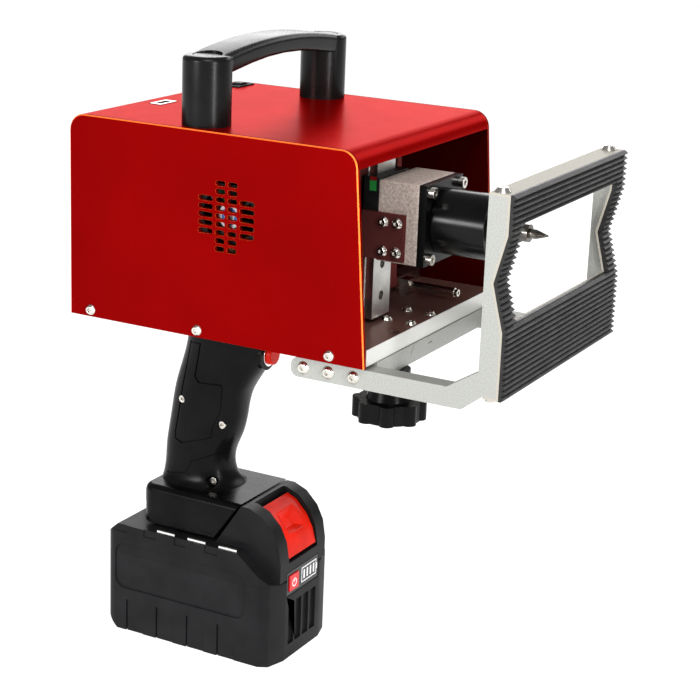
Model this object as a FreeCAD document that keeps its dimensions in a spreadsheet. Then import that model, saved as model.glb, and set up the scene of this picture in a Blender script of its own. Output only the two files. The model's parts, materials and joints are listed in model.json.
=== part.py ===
"""Hand-held dot marking machine: a red case with a two-axis marking head, an adjustable
V-notched front frame, a carry handle, a pistol grip and a slide-on battery pack.

Frame: +Z up, -Y towards the work being marked, +X to the operator's right hand side seen
from behind the work.  The origin is the centre of the flat bottom of the battery pack.
All sizes are millimetres.
"""
import FreeCAD, Part
import math
import os

import Sketcher
from FreeCAD import Placement, Rotation, Vector

doc = FreeCAD.newDocument("MarkingMachine")
sheet = doc.addObject("Spreadsheet::Sheet", "Sizes")
finished = []


# ---------------------------------------------------------------- driving dimensions
class Dim:
    """A number together with the spreadsheet expression that gives it."""

    def __init__(self, text, number):
        self.text = text
        self.number = number

    def __add__(self, other):
        other = dim(other)
        return Dim(f"({self.text} + {other.text})", self.number + other.number)

    def __sub__(self, other):
        other = dim(other)
        return Dim(f"({self.text} - {other.text})", self.number - other.number)

    def __mul__(self, other):
        other = dim(other)
        return Dim(f"({self.text} * {other.text})", self.number * other.number)

    def __truediv__(self, other):
        other = dim(other)
        return Dim(f"({self.text} / {other.text})", self.number / other.number)

    def __neg__(self):
        return Dim(f"(0 - {self.text})", -self.number)

    def __radd__(self, other):
        return dim(other) + self

    def __rsub__(self, other):
        return dim(other) - self

    def __rmul__(self, other):
        return dim(other) * self

    def __float__(self):
        return float(self.number)


def dim(value):
    return value if isinstance(value, Dim) else Dim(f"({value})", value)


def size(name, number):
    row = size.row = getattr(size, "row", 0) + 1
    sheet.set(f"A{row}", name)
    sheet.set(f"B{row}", str(number))
    sheet.setAlias(f"B{row}", name)
    return Dim(f"Sizes.{name}", number)


# case
case_half = size("case_half_width", 94)
case_low = size("case_bottom", 246)
case_top = size("case_roof", 378)
case_rear = size("case_rear", 62)
case_front = size("case_front_low", -156)
case_front_top = size("case_front_high", -145.4)
corner = size("case_corner_radius", 11)
panel = size("panel_thickness", 3)
skin = size("roof_thickness", 2)
lip_low = size("roof_lip_low", 366.8)
base_low = size("base_low", 247)
base_top = size("base_top", 257.5)

# front frame
arm_out = size("arm_outer_face", 90)
arm_in = size("arm_inner_face", 78)
arm_low = size("arm_low", 232)
arm_top = size("arm_high", 244.5)
arm_rear = size("arm_rear", -103)
post_rear = size("post_rear", -229.5)
post_front = size("post_front", -241.5)
post_low = size("post_low", 242.5)
post_top = size("post_high", 363)
notch_deep = size("notch_depth", 7.5)
notch_mid = size("notch_middle", 311.5)
notch_half = size("notch_half_height", 29)
plate = size("front_plate_thickness", 1.5)
mat_base = size("mat_base_thickness", 1.6)
tooth = size("mat_tooth_depth", 2.4)
tooth_pitch = size("mat_tooth_pitch", 3.4)
window_half = size("window_half_width", 75)
window_low = size("window_low", 286)
window_top = size("window_high", 346)
cross_low = size("cross_plate_low", 234.5)

# marking head and its slides
head_x = size("head_centre_across", -21)
head_z = size("head_centre_height", 327.3)
head_half = size("head_half_width", 25.5)
head_rear = size("head_rear", -136.5)
head_front = size("head_front", -164.5)
flange = size("flange_thickness", 5)
coil_radius = size("coil_radius", 20.5)
coil_front = size("coil_front", -206)
rail_x = size("vertical_rail_across", -26)
rail_front = size("vertical_rail_front", -131)
rail_rear = size("vertical_rail_rear", -122.5)
table_low = size("table_low", 270.5)
table_top = size("table_high", 276.5)

# battery pack
pack_half = size("pack_half_width", 42)
pack_rear = size("pack_rear", 72)
pack_front = size("pack_side_front", -56)
pack_nose = size("pack_nose_front", -66.5)
pack_split = size("pack_split", 58)
pack_top = size("pack_shoulder", 80)
pack_wall = size("pack_wall", 2.5)
foot_low = size("foot_low", 83.5)
foot_top = size("foot_high", 110)

# carry handle
handle_across = size("handle_post_across", 73.5)
handle_along = size("handle_along", -28)
handle_post = size("handle_post_radius", 15.5)
handle_width = size("handle_bar_width", 28)

# fan and its vent slots
fan_along = size("fan_along", -56.3)
fan_height = size("fan_height", 326.2)
fan_half = size("fan_half", 20)
fan_deep = size("fan_depth", 10)
slot_pitch = size("vent_slot_pitch", 5.16)
slot_half = size("vent_slot_half_height", 1.7)

# slides and screws inside
slide_front = size("cross_rail_front", -98)
slide_rear = size("cross_rail_rear", -52)
slide_half = size("cross_rail_half_width", 6)
slide_top = size("cross_rail_top", 265.5)
screw_along = size("cross_screw_along", -22)
screw_height = size("cross_screw_height", 289)
lift_across = size("lift_screw_across", -1)
lift_along = size("lift_screw_along", -98)
bore_play = size("screw_bore_play", 0.06)
lead_radius = size("cross_screw_radius", 4)
lift_radius = size("lift_screw_radius", 3)

# trigger
trigger_height = size("trigger_height", 211)
trigger_radius = size("trigger_radius", 6.5)

# fasteners
thread_small = size("screw_radius_small", 2)
head_small = size("screw_head_small", 3.8)
knob_x = size("knob_across", -45)
knob_y = size("knob_along", -150)
knob_radius = size("knob_radius", 23.7)

doc.recompute()


# ---------------------------------------------------------------- modelling helpers
def bind(item, path, value):
    item.setExpression(path, dim(value).text)


def place(item, x, y, z):
    bind(item, "Placement.Base.x", x)
    bind(item, "Placement.Base.y", y)
    bind(item, "Placement.Base.z", z)


def block(x, y, z):
    """A box between the low and high coordinates of each pair."""
    solid = doc.addObject("Part::Box", "Block")
    for side, (low, high) in zip(("Length", "Width", "Height"), (x, y, z)):
        bind(solid, side, dim(high) - low)
    place(solid, x[0], y[0], z[0])
    return solid


TURN = {"X": Rotation(Vector(0, 1, 0), 90), "Y": Rotation(Vector(1, 0, 0), -90), "Z": Rotation()}


def along(axis, centre, start):
    """The corner point of a round solid on the given axis, as three dimensions."""
    first, second = centre
    return {"X": (start, first, second), "Y": (first, start, second), "Z": (first, second, start)}[axis]


def rod(axis, centre, start, end, radius):
    """A cylinder along X, Y or Z; centre gives its two other coordinates."""
    solid = doc.addObject("Part::Cylinder", "Rod")
    solid.Placement = Placement(Vector(), TURN[axis])
    bind(solid, "Radius", radius)
    bind(solid, "Height", dim(end) - start)
    place(solid, *along(axis, centre, start))
    return solid


def taper(axis, centre, start, end, start_radius, end_radius):
    solid = doc.addObject("Part::Cone", "Taper")
    solid.Placement = Placement(Vector(), TURN[axis])
    bind(solid, "Radius1", start_radius)
    bind(solid, "Radius2", end_radius)
    bind(solid, "Height", dim(end) - start)
    place(solid, *along(axis, centre, start))
    return solid


def prism(axis, centre, start, end, across_flats, sides=6):
    solid = doc.addObject("Part::Prism", "Prism")
    solid.Polygon = sides
    solid.Placement = Placement(Vector(), TURN[axis])
    bind(solid, "Circumradius", dim(across_flats) / (2 * math.cos(math.pi / sides)))
    bind(solid, "Height", dim(end) - start)
    place(solid, *along(axis, centre, start))
    return solid


def fuse(*solids):
    if len(solids) == 1:
        return solids[0]
    joined = doc.addObject("Part::MultiFuse", "Fuse")
    joined.Shapes = list(solids)
    return joined


def cut(solid, *tools):
    result = doc.addObject("Part::Cut", "Cut")
    result.Base = solid
    result.Tool = fuse(*tools)
    return result


def common(*solids):
    result = doc.addObject("Part::MultiCommon", "Common")
    result.Shapes = list(solids)
    return result


def group(*solids):
    result = doc.addObject("Part::Compound", "Group")
    result.Links = list(solids)
    return result


def mirrored(solid):
    """The same solid on the other side of the middle plane X = 0."""
    result = doc.addObject("Part::Mirroring", "Mirror")
    result.Source = solid
    result.Normal = Vector(1, 0, 0)
    return result


def fillet(solid, radius, chosen):
    doc.recompute()
    result = doc.addObject("Part::Fillet", "Fillet")
    result.Base = solid
    size_of = float(dim(radius))
    result.Edges = [(i + 1, size_of, size_of) for i, e in enumerate(solid.Shape.Edges) if chosen(e)]
    return result


def chamfer(solid, width, chosen):
    doc.recompute()
    result = doc.addObject("Part::Chamfer", "Chamfer")
    result.Base = solid
    size_of = float(dim(width))
    result.Edges = [(i + 1, size_of, size_of) for i, e in enumerate(solid.Shape.Edges) if chosen(e)]
    return result


def parallel(edge, axis):
    """True for a straight edge along the axis."""
    if not isinstance(edge.Curve, Part.Line):
        return False
    return abs(abs(edge.Curve.Direction.dot(axis)) - 1) < 1e-6


def keep(item, label):
    item.Label = label
    finished.append(item)
    return item


PLANES = {"YZ": "YZ_Plane", "XZ": "XZ_Plane", "XY": "XY_Plane"}


def sketch_on(body, plane, offset):
    sketch = body.newObject("Sketcher::SketchObject", "Outline")
    origin = [f for f in body.Origin.OriginFeatures if f.Role == PLANES[plane]][0]
    sketch.AttachmentSupport = [(origin, "")]
    sketch.MapMode = "FlatFace"
    bind(sketch, "AttachmentOffset.Base.z", offset)
    return sketch


def draw_loop(sketch, points):
    """A closed loop of lines whose corners are tied to the spreadsheet."""
    start = sketch.GeometryCount
    corners = [Vector(float(dim(u)), float(dim(v)), 0) for u, v in points]
    for i, corner_point in enumerate(corners):
        sketch.addGeometry(Part.LineSegment(corner_point, corners[(i + 1) % len(corners)]))
    for i, (u, v) in enumerate(points):
        line = start + i
        before = start + (i - 1) % len(points)
        sketch.addConstraint(Sketcher.Constraint("Coincident", before, 2, line, 1))
        for kind, value in (("DistanceX", dim(u)), ("DistanceY", dim(v))):
            if abs(value.number) < 1e-9:
                axis_line = -2 if kind == "DistanceX" else -1
                sketch.addConstraint(Sketcher.Constraint("PointOnObject", line, 1, axis_line))
                continue
            index = sketch.addConstraint(Sketcher.Constraint(kind, -1, 1, line, 1, value.number))
            sketch.setExpression(f"Constraints[{index}]", value.text)


def profile(plane, points, start, length):
    """A padded outline: on YZ it grows along +X, on XZ along -Y, on XY along +Z."""
    body = doc.addObject("PartDesign::Body", "Profile")
    sketch = sketch_on(body, plane, start)
    draw_loop(sketch, points)
    pad = body.newObject("PartDesign::Pad", "Pad")
    pad.Profile = sketch
    bind(pad, "Length", length)
    sketch.Visibility = False
    return body


def button_screw(axis, centre, face, out, radius, head, depth):
    """A button-head screw: `out` is +1 or -1, the way its head stands from the face."""
    top = dim(face) + out * dim(head) * 0.55
    low, high = (face, top) if out > 0 else (top, face)
    wide, narrow = (head, dim(head) * 0.6) if out > 0 else (dim(head) * 0.6, head)
    dome = taper(axis, centre, low, high, wide, narrow)
    end = dim(face) - out * dim(depth)
    shank = rod(axis, centre, *((end, face) if out > 0 else (face, end)), radius)
    floor = top - out * dim(head) * 0.33
    socket = prism(axis, centre, *((floor, top) if out > 0 else (top, floor)), dim(head) * 0.62)
    return cut(fuse(dome, shank), socket)


def cap_screw(axis, centre, face, out, radius, head, depth):
    """A socket cap screw with a round head as high as its thread is wide."""
    top = dim(face) + out * dim(radius) * 2
    end = dim(face) - out * dim(depth)
    body = rod(axis, centre, *((face, top) if out > 0 else (top, face)), head)
    shank = rod(axis, centre, *((end, face) if out > 0 else (face, end)), radius)
    floor = top - out * dim(radius)
    socket = prism(axis, centre, *((floor, top) if out > 0 else (top, floor)), dim(radius) * 1.5)
    return cut(fuse(body, shank), socket)


X_AXIS, Y_AXIS, Z_AXIS = Vector(1, 0, 0), Vector(0, 1, 0), Vector(0, 0, 1)

# ---------------------------------------------------------------- case
COVER_SCREWS = [(46, 250.5), (-36, 250.5), (-131.5, 250.5)]  # y and z
VENT_COLUMNS = [(-14.95, 10.6, 2), (-4.35, 7, 4), (4.35, 7, 4), (14.95, 10.6, 2)]  # offset, length, rows each way
CASE_OUTLINE = [(case_front, case_low), (case_rear, case_low), (case_rear, case_top), (case_front_top, case_top)]
RIM_BREAK = 0.7


def upper_corner(edge):
    return parallel(edge, X_AXIS) and edge.CenterOfMass.z > float(case_top) / 2 + float(case_low) / 2


def vent_slots(low, high):
    """Round-ended slots in a cross, through everything between two places on X."""
    slots = []
    for offset, length, rows in VENT_COLUMNS:
        run = length / 2 - slot_half
        along_y = fan_along + offset
        for row in range(-rows, rows + 1):
            height = fan_height + row * slot_pitch
            upright = (height - slot_half, height + slot_half)
            slots.append(block((low, high), (along_y - run, along_y + run), upright))
            slots += [rod("X", (along_y + end, height), low, high, slot_half) for end in (-run, run)]
    return slots


def side_panel():
    """The left side plate: raked front, rounded upper corners and a cross of vent slots."""
    plain = fillet(profile("YZ", CASE_OUTLINE, -case_half, panel), corner, upper_corner)
    low, high = -case_half - 1, -case_half + panel + 1
    holes = [rod("X", spot, low, high, thread_small + 0.2) for spot in COVER_SCREWS]
    return cut(plain, *vent_slots(low, high), *holes)


def outer_rim(edge):
    """True for the long outer edges of the side plate, but not for its bottom edge."""
    box = edge.BoundBox
    outer = max(abs(box.XMin + float(case_half)), abs(box.XMax + float(case_half))) < 0.01
    near_top = box.ZMax > float(case_top - corner) - 1
    near_end = box.YMin < float(case_front_top) + 1 or box.YMax > float(case_rear) - 0.1
    return outer and (near_top or near_end) and edge.Length > float(corner) + 1 and box.ZMax > float(fan_height)


left = chamfer(side_panel(), RIM_BREAK, outer_rim)
keep(left, "left_side_panel")
keep(mirrored(left), "right_side_panel")


def roof():
    """The bent sheet between the side plates: roof, short front lip and rear bend."""
    inner = case_half - panel
    solid = fillet(profile("YZ", CASE_OUTLINE, -inner, inner * 2), corner, upper_corner)
    hollow_points = [(case_front - 30, case_low - 20), (case_rear - skin, case_low - 20),
                     (case_rear - skin, case_top - skin), (case_front_top + skin, case_top - skin),
                     (case_front_top + 1.1, lip_low), (case_front - 30, lip_low)]
    hollow = fillet(profile("YZ", hollow_points, -inner - 5, inner * 2 + 10), corner - skin,
                    lambda e: parallel(e, X_AXIS) and e.CenterOfMass.z > float(lip_low) + 1)
    low_end = block((-inner - 1, inner + 1), (case_rear - 22, case_rear + 1), (case_low - 1, base_top + 0.5))
    screen = grown((SCREEN_GLASS[0], (case_rear - 4, case_rear + 1), SCREEN_GLASS[1]), 0.2)
    port = grown((PORT_X, PORT_Y, (case_top - 6, case_top + 1)), 0)
    rocker = grown((SWITCH_X, SWITCH_Y, (case_top - 6, case_top + 1)), 0)
    bolts = [rod("Z", (x, handle_along), case_top - 6, case_top + 1, 3.2) for x in HANDLE_POSTS]
    return cut(solid, hollow, low_end, screen, port, rocker, *bolts)


def grown(sides, by):
    """A box whose X and Z sides each stand out by a clearance."""
    (x, y, z) = sides
    return block((x[0] - by, x[1] + by), y, (z[0] - by, z[1] + by))


HANDLE_POSTS = (-handle_across, handle_across)
SCREEN_GLASS = ((-74.8, 74.8), (264.7, 343.3))
PORT_X, PORT_Y = (-32, -12), (34, 44)
SWITCH_X, SWITCH_Y = (66, 88), (35, 47)
keep(roof(), "top_cover")
keep(fuse(block((-79, 79), (48, case_rear - skin), (261, 347)),
          block(SCREEN_GLASS[0], (case_rear - skin, case_rear + 1), SCREEN_GLASS[1])), "touch_screen")
inner_half = case_half - panel

KNOB_HOLE = (knob_x, knob_y)
BASE_SCREWS = [(6, -134), (6, -151), (-22, -134), (-22, -151)]


def base():
    slab = block((-inner_half, inner_half), (case_front, case_rear - 3.5), (base_low, base_top))
    side_holes = []
    for y, z in COVER_SCREWS:
        side_holes.append(rod("X", (y, z), -inner_half - 1, -inner_half + 9, thread_small))
        side_holes.append(rod("X", (y, z), inner_half - 9, inner_half + 1, thread_small))
    clearances = [rod("Z", spot, base_low - 1, base_top + 1, thread_small + 0.2) for spot in BASE_SCREWS]
    clearances.append(rod("Z", KNOB_HOLE, base_low - 1, base_top + 1, 4.06))
    return cut(slab, *side_holes, *clearances)


keep(base(), "base_plate")
keep(group(*[button_screw("X", spot, side * case_half, side, thread_small, head_small, 11)
             for side in (-1, 1) for spot in COVER_SCREWS],
           *[button_screw("Z", spot, base_top, 1, thread_small, head_small, 9) for spot in BASE_SCREWS],
           *[cap_screw("Z", (x, handle_along), case_top - skin, -1, 3, 5, 22) for x in HANDLE_POSTS]),
     "housing_screws")


# ---------------------------------------------------------------- carry handle
def handle():
    """Two round posts joined by a bar that rises to the middle."""
    posts = [rod("Z", (x, handle_along), case_top, 419, handle_post) for x in HANDLE_POSTS]
    outline = [(-84, 408), (-58, 411), (-40, 413.5), (-20, 415.5), (0, 416), (20, 415.5), (40, 413.5), (58, 411),
               (84, 408), (88.5, 412), (88.5, 418), (86, 421), (60, 424.5), (30, 427), (0, 428), (-30, 427),
               (-60, 424.5), (-86, 421), (-88.5, 418), (-88.5, 412)]
    bar = profile("XZ", outline, -handle_along - handle_width / 2, handle_width)
    pockets = [rod("Z", (x, handle_along), CAP_SEAT, CAP_SEAT + 17, CAP_RADIUS + 0.2) for x in HANDLE_POSTS]
    bores = [rod("Z", (x, handle_along), case_top - 1, 400, 3.05) for x in HANDLE_POSTS]
    return cut(fuse(*posts, bar), *pockets, *bores)


CAP_SEAT, CAP_RADIUS = 413, 9.2
keep(handle(), "carry_handle")
keep(group(*[rod("Z", (x, handle_along), CAP_SEAT + 0.2, CAP_SEAT + 8.6, CAP_RADIUS) for x in HANDLE_POSTS]),
     "handle_caps")

# ---------------------------------------------------------------- parts fixed inside the case
fan_low = -case_half + panel
FAN_BOLTS = [(fan_along + y, fan_height + z) for y in (-16.5, 16.5) for z in (-16.5, 16.5)]


def fan_frame():
    """A square frame with a round duct; a bar across its inner side carries the rotor."""
    square = ((fan_along - fan_half, fan_along + fan_half), (fan_height - fan_half, fan_height + fan_half))
    duct = rod("X", (fan_along, fan_height), fan_low - 1, fan_low + fan_deep - 1.5, fan_half - 1.4)
    outlets = [block((fan_low + fan_deep - 2, fan_low + fan_deep + 1), (fan_along - 18, fan_along + 18),
                     (fan_height + low, fan_height + low + 12)) for low in (-16, 4)]
    bolts = [rod("X", spot, fan_low - 1, fan_low + fan_deep + 1, 1.6) for spot in FAN_BOLTS]
    return cut(block((fan_low, fan_low + fan_deep), *square), duct, *outlets, *bolts)


def fan_rotor():
    """A hub with seven flat blades."""
    hub = rod("X", (fan_along, fan_height), fan_low + 1, fan_low + fan_deep - 2.5, 9)
    blade = block((fan_low + 1.5, fan_low + 7), (fan_along - 1, fan_along + 1), (fan_height + 7, fan_height + 17.8))
    doc.recompute()
    centre = Vector(0, float(fan_along), float(fan_height))
    blades = []
    for turn in range(7):
        spun = doc.addObject("Part::Feature", "Blade")
        spun.Shape = blade.Shape.rotated(centre, X_AXIS, turn * 360 / 7)
        blades.append(spun)
    return fuse(hub, *blades)


def controller_board():
    """A circuit board on four pillars, with its connector strip and tall parts on the front."""
    board = block((-45, 45), (30, 31.6), (264, 340))
    chips = [block((-30, -10), (22, 30.1), (300, 320)), block((5, 30), (20, 30.1), (305, 330))]
    connector = block((-40, 40), (18, 30.1), (266, 276))
    capacitors = [rod("Y", (x, 290), 18, 30.1, 5) for x in (-20, 0)]
    pillars = [rod("Y", (x, z), 31.5, 48, 2.5) for x in (-40, 40) for z in (268, 336)]
    return fuse(board, *chips, connector, *capacitors, *pillars)


def screw_supports():
    """The angle that carries the cross motor and the block that holds the far end of its screw."""
    bores = [rod("X", X_SCREW, low, high, lead_radius + bore_play) for low, high in ((56, 61), (-89, -81))]
    angle = fuse(block((57, 60), (-38, -6), (base_top, 305)), block((59, 88), (-38, -6), (base_top, 260)))
    far_block = block((-88, -82), (-34, -10), (base_top, 299))
    return group(cut(angle, bores[0]), cut(far_block, bores[1]))


def tie_rod():
    """A rod to the front lip of the base, with a flatted foot and a hexagon socket in its end."""
    shaft = fuse(rod("Y", TIE_ROD, -150, -114, 3), rod("Y", TIE_ROD, -152.5, -150, 2.4))
    shaft_foot = block((TIE_ROD[0] - 5, TIE_ROD[0] + 5), (-118, -111), (base_top, 268))
    return cut(fuse(shaft, shaft_foot), prism("Y", TIE_ROD, -153, -151, 2.5))


def power_rocker():
    middle = (SWITCH_X[0] + SWITCH_X[1]) / 2
    crown = rod("Y", (middle, case_top - 9), 37.3, 44.7, 11.5)
    return common(block((middle - 7.5, middle + 7.5), (37.3, 44.7), (case_top - 7, case_top + 3)), crown)


X_SCREW = (screw_along, screw_height)
TIE_ROD = (45, 263.5)  # x and z
keep(fan_frame(), "fan_frame")
keep(fan_rotor(), "fan_rotor")
keep(controller_board(), "controller_board")
keep(group(*[block((-85, 85), (y - slide_half, y + slide_half), (base_top, slide_top))
             for y in (slide_rear, slide_front)]), "x_rails")
keep(block((60, 88), (screw_along - 14, screw_along + 14), (screw_height - 14, screw_height + 14)), "x_motor")
keep(screw_supports(), "x_screw_supports")
keep(tie_rod(), "tie_rod")
keep(cut(block((-31.5, -12.5), (34.5, 43.5), (case_top - 10, case_top + 0.4)),
         block((-29, -15), (36.5, 41.5), (case_top - 8, case_top + 1))), "data_port")
keep(cut(block((66.3, 87.7), (35.3, 46.7), (case_top - 12, case_top + 1)),
         block((68, 86), (37, 45), (case_top - 9, case_top + 2))), "power_switch_frame")
keep(power_rocker(), "power_rocker")

# ---------------------------------------------------------------- traversing table (moves along X)
def stage_bracket():
    """The table on the four carriages and the column that the vertical rail is bolted to."""
    table = block((-66, 14), (rail_rear, -40), (table_low, table_top))
    column = block((-48, 12), (rail_rear, rail_rear + 8), (table_low, 366))
    arm_slot = block((-9.5, 6), (rail_rear - 1, rail_rear + 9), (297, 367))
    return cut(fuse(table, column), arm_slot)


def cross_carriage(x, y):
    body = block((x - 15, x + 15), (y - 11, y + 11), (259.5, table_low))
    return cut(body, block((x - 16, x + 16), (y - slide_half - 0.3, y + slide_half + 0.3), (256, slide_top + 0.3)))


def vertical_rail():
    """A wide rail with a ball groove down each side and two bolt holes."""
    side = (rail_x - 12, rail_x + 12)
    grooves = [block((x - 1, x + 1), (rail_front + 4, rail_front + 6.2), (259, 367)) for x in side]
    bolts = [rod("Y", (rail_x, z), rail_front - 1, rail_front + 4, 3) for z in (274, 295)]
    return cut(block(side, (rail_front, rail_rear), (260.5, 366)), *grooves, *bolts)


keep(stage_bracket(), "stage_bracket")
keep(group(*[cross_carriage(x, y) for x in (-48, -4) for y in (slide_rear, slide_front)]), "x_bearing_blocks")
keep(cut(fuse(block((-34, -18), (-40, -12), (table_low, table_top)),
              block((-34, -18), (-34, -12), (table_top - 0.1, 299))),
         rod("X", X_SCREW, -35, -17, lead_radius + 0.3)), "x_nut")
keep(vertical_rail(), "z_rail")
keep(block((-18.5, 16.5), (lift_along - 16, lift_along + 16), (table_top, 297)), "z_motor")
keep(rod("X", X_SCREW, -88, 59.9, lead_radius), "x_leadscrew")
keep(rod("Z", (lift_across, lift_along), 297.3, 366, lift_radius), "z_leadscrew")

# ---------------------------------------------------------------- marking head (moves along Z)
head_left = head_x - head_half
head_right = head_x + head_half
head_bottom = head_z - head_half
head_roof = head_z + head_half
keep(cut(block((rail_x - 20, rail_x + 20), (head_rear, head_rear + 10.6), (310, 354)),
         block((rail_x - 12.3, rail_x + 12.3), (rail_front - 0.3, rail_rear), (309, 355))), "z_bearing_block")
keep(chamfer(block((head_left, head_right), (head_front, head_rear), (head_bottom, head_roof)), 0.6,
             lambda e: True), "head_block")
BRACKET_SCREWS = [(y, z) for y in (-151.5, -142) for z in (309, 327.5)]
keep(cut(block((head_left - 3, head_left), (-156.5, -127), (303.5, 333)),
         *[rod("X", spot, head_left - 4, head_left + 1, thread_small + 0.2) for spot in BRACKET_SCREWS]),
     "head_bracket")
keep(group(*[button_screw("X", spot, head_left - 3, -1, thread_small - 0.1, head_small, 2.9)
             for spot in BRACKET_SCREWS]), "bracket_screws")
flange_front = head_front - flange
FLANGE_SCREWS = [(head_x + x, head_z + z) for x in (-20.8, 20.8) for z in (-20.8, 20.8)]
keep(cut(block((head_left, head_right), (flange_front, head_front), (head_bottom, head_roof)),
         rod("Y", (head_x, head_z), flange_front - 1, head_front + 1, 5),
         *[rod("Y", spot, flange_front - 1, head_front + 1, thread_small + 0.2) for spot in FLANGE_SCREWS]),
     "head_flange")
keep(group(*[cap_screw("Y", spot, flange_front, -1, thread_small, 3.5, 4.9) for spot in FLANGE_SCREWS]),
     "flange_screws")
keep(cut(fuse(rod("Y", (head_x, head_z), coil_front, flange_front, coil_radius),
              taper("Y", (head_x, head_z), coil_front - 8, coil_front, 8, 13)),
         rod("Y", (head_x, head_z), coil_front - 9, flange_front + 1, 3.05)), "coil_housing")
keep(fuse(block((-5.9, 3), (head_rear, -103), (338, 348)),
          cut(block((-9, 7), (-106, -90), (336, 350)),
              rod("Z", (lift_across, lift_along), 335, 351, lift_radius + 0.3))), "z_nut_arm")
keep(fuse(rod("Y", (head_x, head_z), -232, -182, 3),
          taper("Y", (head_x, head_z), -240, -232, 0.4, 3),
          rod("Y", (head_x, head_z), -228, -219, 5.5)), "stylus")


# ---------------------------------------------------------------- adjustable front frame (moves along -Y)
def arm():
    """The left machined arm: a level strip, a cranked foot and an upright with a V notch."""
    outline = [(arm_rear, arm_low), (-219.5, arm_low), (-233, post_low), (post_front, post_low),
               (post_front, notch_mid - notch_half), (post_front + notch_deep, notch_mid),
               (post_front, notch_mid + notch_half), (post_front, post_top), (post_rear, post_top),
               (post_rear, 257), (-209.5, arm_top), (arm_rear, arm_top)]
    body = profile("YZ", outline, -arm_out, arm_out - arm_in)
    rounded = fillet(body, 5, lambda e: parallel(e, X_AXIS) and e.CenterOfMass.y > -104)
    holes = [rod("X", spot, -arm_out - 1, -arm_in + 1, 2.2) for spot in ARM_SCREWS]
    taps = [rod("Z", FRAME_SCREWS[0], low, low + 10, FRAME_THREAD) for low in (post_top - 9, post_low - 1)]
    return cut(rounded, *holes, *taps)


ARM_SCREWS = [(y, 238.5) for y in (-111.8, -129.3, -146.8)]
FRAME_SCREWS = [(-84, -235.5), (84, -235.5)]
FRAME_THREAD = 2.5
SLOT_END = knob_y + 20
STUD_SLOT = 4.3
left_arm = arm()
keep(left_arm, "left_arm")
keep(mirrored(left_arm), "right_arm")
cross = cut(block((-arm_in, arm_in), (case_front - 1, arm_rear - 1), (cross_low, base_low - 0.3)),
            block((knob_x - STUD_SLOT, knob_x + STUD_SLOT), (knob_y, SLOT_END), (cross_low - 1, base_low + 1)),
            *[rod("Z", (knob_x, y), cross_low - 1, base_low + 1, STUD_SLOT) for y in (knob_y, SLOT_END)],
            *[rod("X", spot, side * arm_in - 12, side * arm_in + 12, thread_small) for side in (-1, 1)
              for spot in ARM_SCREWS])
keep(cross, "cross_plate")
keep(group(*[button_screw("X", spot, side * arm_out, side, thread_small, 4.3, 20) for side in (-1, 1)
             for spot in ARM_SCREWS]), "arm_screws")


def notched(front, back, low, high):
    """The outline of a sheet that follows the V of the arms, between two depths in front of them."""
    near, far = post_front - back, post_front - front
    bend_low, bend_high = notch_mid - notch_half, notch_mid + notch_half
    return [(near, low), (near, bend_low), (near + notch_deep, notch_mid), (near, bend_high), (near, high),
            (far, high), (far, bend_high), (far + notch_deep, notch_mid), (far, bend_low), (far, low)]


def front_plate():
    """A bent sheet over the front of both arms, with a flange on their tops and their feet."""
    sheet_body = profile("YZ", notched(0, plate, post_low - plate, post_top + plate), -arm_out, arm_out * 2)
    top = block((-arm_out, arm_out), (post_front, post_rear), (post_top, post_top + plate))
    foot = block((-arm_out, arm_out), (post_front, post_rear - 3.5), (post_low - plate, post_low))
    window = block((-window_half, window_half), (post_front - 12, post_front + 12), (window_low, window_top))
    holes = [rod("Z", spot, post_low - 12, post_top + 17, FRAME_THREAD + 0.2) for spot in FRAME_SCREWS]
    return cut(fuse(sheet_body, top, foot), window, *holes)


keep(front_plate(), "front_plate")


def rubber_mat():
    """A sheet with level V ribs all down its face, bonded to the front plate."""
    low, high = post_low - plate, post_top + plate
    backing = profile("YZ", notched(plate, plate + mat_base, low, high), -arm_out, arm_out * 2)
    front = float(post_front - plate - mat_base)
    count = int(float(high - low) / float(tooth_pitch))
    pitch = float(high - low) / count

    def face(height):
        """How far back the flat of the mat lies at a height."""
        inside = 1 - abs(height - float(notch_mid)) / float(notch_half)
        return front + float(notch_deep) * max(0.0, inside)

    points = []
    for i in range(count):
        start = float(low) + i * pitch
        middle = start + pitch / 2
        points.append(Vector(0, face(start), start))
        points.append(Vector(0, face(middle) - float(tooth), middle))
    points.append(Vector(0, face(float(high)), float(high)))
    for height in (high, notch_mid + notch_half, notch_mid, notch_mid - notch_half, low):
        points.append(Vector(0, face(float(height)) + 0.2, float(height)))
    solid = Part.Face(Part.makePolygon(points + [points[0]])).extrude(Vector(2 * float(arm_out), 0, 0))
    solid.translate(Vector(-float(arm_out), 0, 0))
    ribs = doc.addObject("Part::Feature", "Ribs")
    ribs.Shape = solid
    window = block((-window_half, window_half), (post_front - 16, post_front + 12), (window_low, window_top))
    return cut(fuse(backing, ribs), window)


keep(rubber_mat(), "rubber_mat")
keep(group(*[button_screw("Z", spot, post_top + plate, 1, FRAME_THREAD, 5.2, 8) for spot in FRAME_SCREWS],
           *[button_screw("Z", spot, post_low - plate, -1, FRAME_THREAD, 4.6, 8) for spot in FRAME_SCREWS]),
     "frame_screws")


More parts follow.
